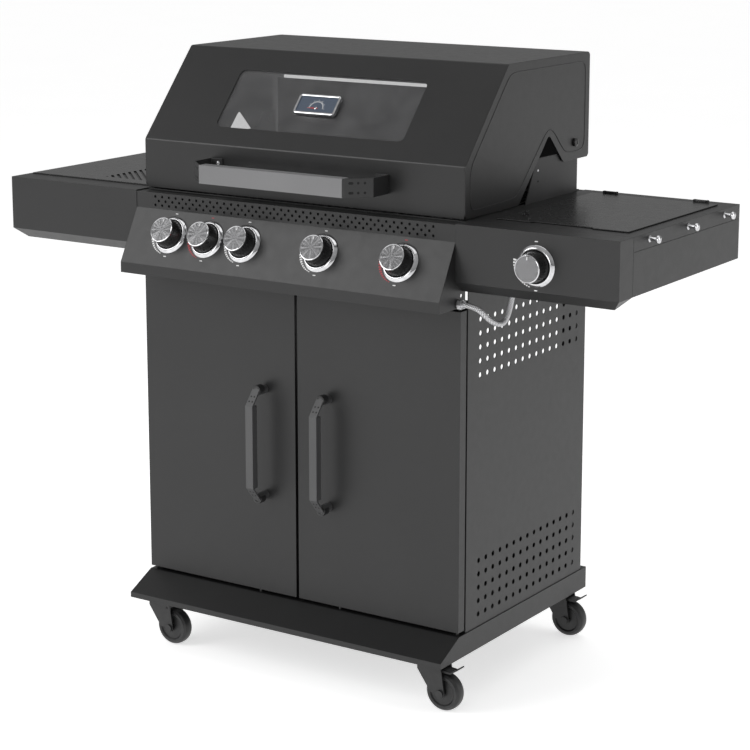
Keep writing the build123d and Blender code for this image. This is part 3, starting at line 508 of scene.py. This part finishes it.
def addGauge(spec):
    turn = joints["needle_turn"]
    normal = -np.array(turn["axis"])
    x, up = axes(normal)[:2]
    # the joint's point is on the lid's slope, below the middle of the case
    pivot = np.array(turn["pos_m"])
    centre = pivot + spec["pivot"] * mm * up
    w, h, r = (spec[key] * mm for key in ("width", "height", "corner"))
    top = spec["proud"] * mm
    dial = top - spec["drop"] * mm
    ink = spec["ink"] * mm
    steps = [(0.6, 0.0), (0, 0.6), (0, 6.2), (0.5, 7.4), (1.6, 8.0), (3.4, 8.0), (4.6, 7.4), (5.0, 6.4),
             (5.0, 5.8)]
    loops = [(roundedLoop(w - 2 * i * mm, h - 2 * i * mm, max(r - i * mm, 2 * mm)), z * mm) for i, z in steps]
    kinds = np.array([1] * (len(loops) - 2) + [0])
    case = slab("thermometerCase", loops, centre, normal, "lid", "dial_face",
                [finishes["dial_face"], finishes["bright_steel"]], rowMaterial=kinds)
    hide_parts("thermometer_case")
    for tick, angle in enumerate(np.linspace(0, 180, spec["ticks"])):
        a = radians(angle)
        long = (spec["long"] if tick % 3 == 0 else spec["short"]) * mm
        along, aside = np.array([np.cos(a), np.sin(a)]), np.array([-np.sin(a), np.cos(a)])
        shape = roundedLoop(long, 0.6 * mm, 0.2 * mm, 2)
        loop = shape[:, :1] * along + shape[:, 1:] * aside
        spot = pivot + (spec["arc"] * mm + long / 2) * (np.cos(a) * x + np.sin(a) * up)
        slab(f"dialTick{tick}", [(loop, dial), (loop, dial + ink)], spot, normal,
             "lid", "dial_face", [whiteInk])
    halfTurn = np.linspace(0, pi, 40)
    band = np.stack([np.cos(halfTurn), np.sin(halfTurn)], axis=-1)
    arc = np.concatenate([band * spec["arc"] * mm, band[::-1] * (spec["arc"] - 0.7) * mm])
    slab("dialArc", [(arc, dial), (arc, dial + ink)], pivot, normal, "lid", "dial_face", [whiteInk])
    shape = np.array([(-19, 0), (0, 1.1), (4, 0.8), (4, -0.8), (0, -1.1)]) * mm
    needle = slab("thermometerNeedle", [(shape, z * mm) for z in spec["needle"]], pivot, normal,
                  "dial_needle", "needle_red", [finishes["needle_red"]])
    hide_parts("thermometer_needle")
    hub = [(2.6, 5.9), (2.6, 6.9), (2.0, 7.3), (0.3, 7.4)]
    lathe("needleHub", [(a * mm, b * mm) for a, b in hub], pivot, normal, "dial_needle", "needle_red",
          [finishes["bright_steel"]], segments=32)


addGauge(gauge)
print("thermometer made")


# hooks, bolts, cups and holes
hooks = {"rows": (84.7, 231.2, 377.8), "height": 868, "root": 661}


def addHooks(spec):
    # a plate, a thin neck and a rounded mushroom head
    profile = [(6, 0), (6, 1.2), (5, 2.2), (3.6, 3), (3.3, 8), (3.6, 13), (6.2, 14.4), (7, 15.6), (7, 17.4),
               (6.3, 19.2), (4.4, 20.4), (2, 20.9), (0.3, 21)]
    profile = [(r * mm, z * mm) for r, z in profile]
    made = [lathe(f"utensilHook{row}", profile, at(spec["root"], y, spec["height"]), (1, 0, 0), "cart",
                  "bright_steel", [finishes["bright_steel"]], segments=40)
            for row, y in enumerate(spec["rows"])]
    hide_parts("utensil_hooks")


def addBolt(name, place, normal, body, radius=5.0, material="zinc"):
    # a domed head with a recess in it
    profile = [(radius, 0), (radius, 0.6), (radius * 0.86, 1.5), (radius * 0.6, 2.1), (radius * 0.42, 2.2),
               (radius * 0.38, 1.1), (0.3, 1.1)]
    lathe(name, [(r * mm, z * mm) for r, z in profile], place, normal, body, material,
          [finishes[material]], segments=28)


def addPaintedHoleShade(name, place, normal, body, long=5.0, wide=5.0, across=(1, 0, 0)):
    # a dark round-ended patch of painted shade where a hole is, sunk in the metal and just proud of it
    sunk, proud = -0.4, 0.08
    loop = roundedLoop(long * mm, wide * mm, min(long, wide) * 0.499 * mm, 6)
    x, y, n = axes(normal, across)
    grid = np.stack([np.array(place) + loop[:, :1] * x + loop[:, 1:] * y + h * mm * n for h in (sunk, proud)])
    gridMesh(name, grid, body, "bracket_paint", [paintedHoleShade])


addHooks(hooks)

# the slanted plate of each lid handle bracket, from its outer fold to its inner one
plate = {"outer": (194.8, -39.5), "inner": (156.5, -76.3), "z": (921.5, 938.5)}
bracketBolt = {"x": 177, "y": 7.5, "radius": 4.0}
hingeBolt = {"place": (352.5, 396.4, 972.3), "radius": 8.0}
outer, inner = np.array(plate["outer"]), np.array(plate["inner"])
slope = (inner - outer) / np.linalg.norm(inner - outer)
for side, tag in ((-1, "Left"), (1, "Right")):
    normal = np.array([-side * slope[1], slope[0], 0])
    for row, z in enumerate(plate["z"]):
        # dark patches of painted shade where the plate's holes are
        for column, (step, long) in enumerate(((0.28, 4.5), (0.5, 4.5), (0.74, 9.0))):
            x, y = outer + (inner - outer) * step
            addPaintedHoleShade(f"bracketHole{tag}{row}{column}", at(side * x, y, z), normal, "lid", long, 4.5,
                    (side * slope[0], slope[1], 0))
    for z in plate["z"]:
        place = at(side * bracketBolt["x"], bracketBolt["y"], z)
        addBolt(f"bracketBolt{tag}{round(z)}", place, (0, -1, 0), "lid", bracketBolt["radius"])
    x, y, z = hingeBolt["place"]
    addBolt(f"hingeBolt{tag}", at(side * x, y, z), (side, 0, 0), "cart", hingeBolt["radius"], "bracket_paint")

# a door handle: its two posts, and the slanted ends that its bar is bent from
grip = {"x": 71, "z": (326.5, 532.5), "out": 26, "slant": (-29.0, 24.0)}
gripHoles = {"along": (8, 16), "columns": (-3.4, 3.4), "bar": -50, "lean": 0.82,
             "middle": 429.5, "bend": 77.5}
for side, door in ((-1, "left_door"), (1, "right_door")):
    for end, z in zip((-1, 1), grip["z"]):
        # a round cup with a dark screw recess, where the bent end meets its post
        profile = [(9.2, -14), (9.4, -1), (9.0, 0.6), (7.2, 1.2), (5.2, 1.0), (4.8, -2.2), (0.3, -2.2)]
        where = at(side * grip["x"], -grip["out"], z)
        lathe(f"gripCup{door}{end}", [(r * mm, h * mm) for r, h in profile], where, (0, -1, 0), door,
              "handle_paint", [finishes["bracket_paint"]], segments=40)
        normal = np.array([0, grip["slant"][0], grip["slant"][1] * end])
        # dark patches of painted shade where the bent end's holes are
        for row, along in enumerate(gripHoles["along"]):
            y = gripHoles["bar"] + along * gripHoles["lean"]
            z = gripHoles["middle"] + end * (gripHoles["bend"] + along)
            for column in gripHoles["columns"]:
                spot = at(side * grip["x"] + column, y, z)
                addPaintedHoleShade(f"gripHole{door}{end}{row}{column > 0}", spot, normal, door, 3.2, 3.2)
print("hooks, bolts and holes made")


# wheels
wheel = {"radius": 35, "half": 12.5, "crown": 2.6}


def addWheel(corner):
    # hub, web, flank and a crowned tread, the same on both sides
    turn = joints[f"roll_{corner}"]
    r, w, crown = wheel["radius"], wheel["half"], wheel["crown"]
    curve = np.linspace(-pi / 2, pi / 2, 11)
    tread = [(r - crown + crown * np.cos(a), (w - 3) * np.sin(a)) for a in curve]
    profile = [(6, -w + 3), (9, -w + 2.4), (12, -w + 3.4), (23, -w + 3.4), (25.5, -w + 0.4), (30, -w + 0.2)]
    profile = profile + tread + [(a, -b) for a, b in reversed(profile)]
    profile = [(a * mm, b * mm) for a, b in profile]
    piece = lathe(f"wheel_{corner}", profile, turn["pos_m"], (0, 1, 0), f"roller_{corner}", "caster_plastic",
                  [finishes["caster_plastic"]], segments=72, turns=True)
    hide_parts(f"caster_wheel_{corner}")


for corner in ("front_left", "front_right", "rear_left", "rear_right"):
    addWheel(corner)
print("wheels made")


# lid details
crease = {
    "outline": [(26, 893), (26, 967), (160, 1119), (434, 1119), (434, 968), (421, 956), (361, 956),
                (312, 1006), (291, 1004), (183, 897)],
    "x": 349.4,
    "radius": 0.9,
}


def smoothLoop(points, rounds=3, most=10):
    # cuts each corner into two, again and again, and no cut is longer than the most allowed
    points = np.array(points, float)
    for _ in range(rounds):
        following = np.roll(points, -1, axis=0)
        reach = np.linalg.norm(following - points, axis=1, keepdims=True)
        cut = np.minimum(most / reach, 0.25)
        points = np.stack([points + cut * (following - points), following - cut * (following - points)], 1)
        points = points.reshape(-1, 2)
    return points


for side, tag in ((-1, "Left"), (1, "Right")):
    loop = smoothLoop(crease["outline"])
    path = np.array([at(side * crease["x"], y, z) for y, z in np.vstack([loop, loop[:1]])])
    tube(f"lidCrease{tag}", path, crease["radius"] * mm, "lid", "hood_paint", finishes["hood_paint"], 8)
print("lid creases made")


# floor and light
def addStage():
    mesh = bpy.data.meshes.new("studioFloor")
    size = 60.0  # half a side, metres
    corners = [(-size, -size, 0), (size, -size, 0), (size, size, 0), (-size, size, 0)]
    mesh.from_pydata(corners, [], [(0, 1, 2, 3)])
    floor = bpy.data.objects.new("studioFloor", mesh)
    paint = Finish("floorPaint", Emission_Color=(1, 1, 1, 1), Emission_Strength=0.6)
    cloud = paint.noise(2.0)
    colour = paint.tint(cloud, (0.86, 0.86, 0.86), (0.88, 0.88, 0.88))
    paint.feed(Base_Color=colour, Roughness=0.6 + 0.1 * cloud)
    mesh.materials.append(paint.material)
    bpy.context.collection.objects.link(floor)


lights = [
    {"name": "keyPanel", "place": (-2.4, -3.0, 2.8), "size": 2.4, "power": 70},
    {"name": "topPanel", "place": (0.2, 0.8, 3.6), "size": 3.0, "power": 26},
    {"name": "sidePanel", "place": (4.4, 1.4, 1.6), "size": 1.8, "power": 25},
    {"name": "frontPanel", "place": (0.6, -4.8, 1.5), "size": 1.8, "power": 35},
]
sky = {"seen": 1.0, "low": 0.25, "high": 0.5}


def addSky(spec):
    # plain white where it is seen, and a soft studio gradient, low to high, for what it lights
    world = bpy.data.worlds.new("studioWorld")
    world.use_nodes = True
    tree = world.node_tree
    shine = tree.nodes["Background"]
    ramp = tree.nodes.new("ShaderNodeMapRange")
    parts = tree.nodes.new("ShaderNodeSeparateXYZ")
    tree.links.new(tree.nodes.new("ShaderNodeTexCoord").outputs["Generated"], parts.inputs[0])
    tree.links.new(parts.outputs["Z"], ramp.inputs["Value"])
    span = {"From Min": -0.2, "From Max": 0.9, "To Min": spec["low"], "To Max": spec["high"]}
    for key, value in span.items():
        ramp.inputs[key].default_value = value
    blend = tree.nodes.new("ShaderNodeMix")
    tree.links.new(tree.nodes.new("ShaderNodeLightPath").outputs["Is Camera Ray"], blend.inputs["Factor"])
    tree.links.new(ramp.outputs[0], blend.inputs["A"])
    blend.inputs["B"].default_value = spec["seen"]
    tree.links.new(blend.outputs[0], shine.inputs["Strength"])
    shine.inputs["Color"].default_value = (1, 1, 1, 1)
    bpy.context.scene.world = world


def addLights(specs):
    aim = np.array([0, 0, 0.6])  # the middle of the grill
    for spec in specs:
        data = bpy.data.lights.new(spec["name"], "AREA")
        data.size, data.energy = spec["size"], spec["power"]
        lamp = bpy.data.objects.new(spec["name"], data)
        lamp.location = spec["place"]
        away = np.array(spec["place"]) - aim
        lamp.rotation_euler = Vector(away.tolist()).to_track_quat("Z", "Y").to_euler()
        bpy.context.collection.objects.link(lamp)


addStage()
addLights(lights)
addSky(sky)
bpy.context.scene.view_settings.view_transform = "Standard"
print("floor and lights set")
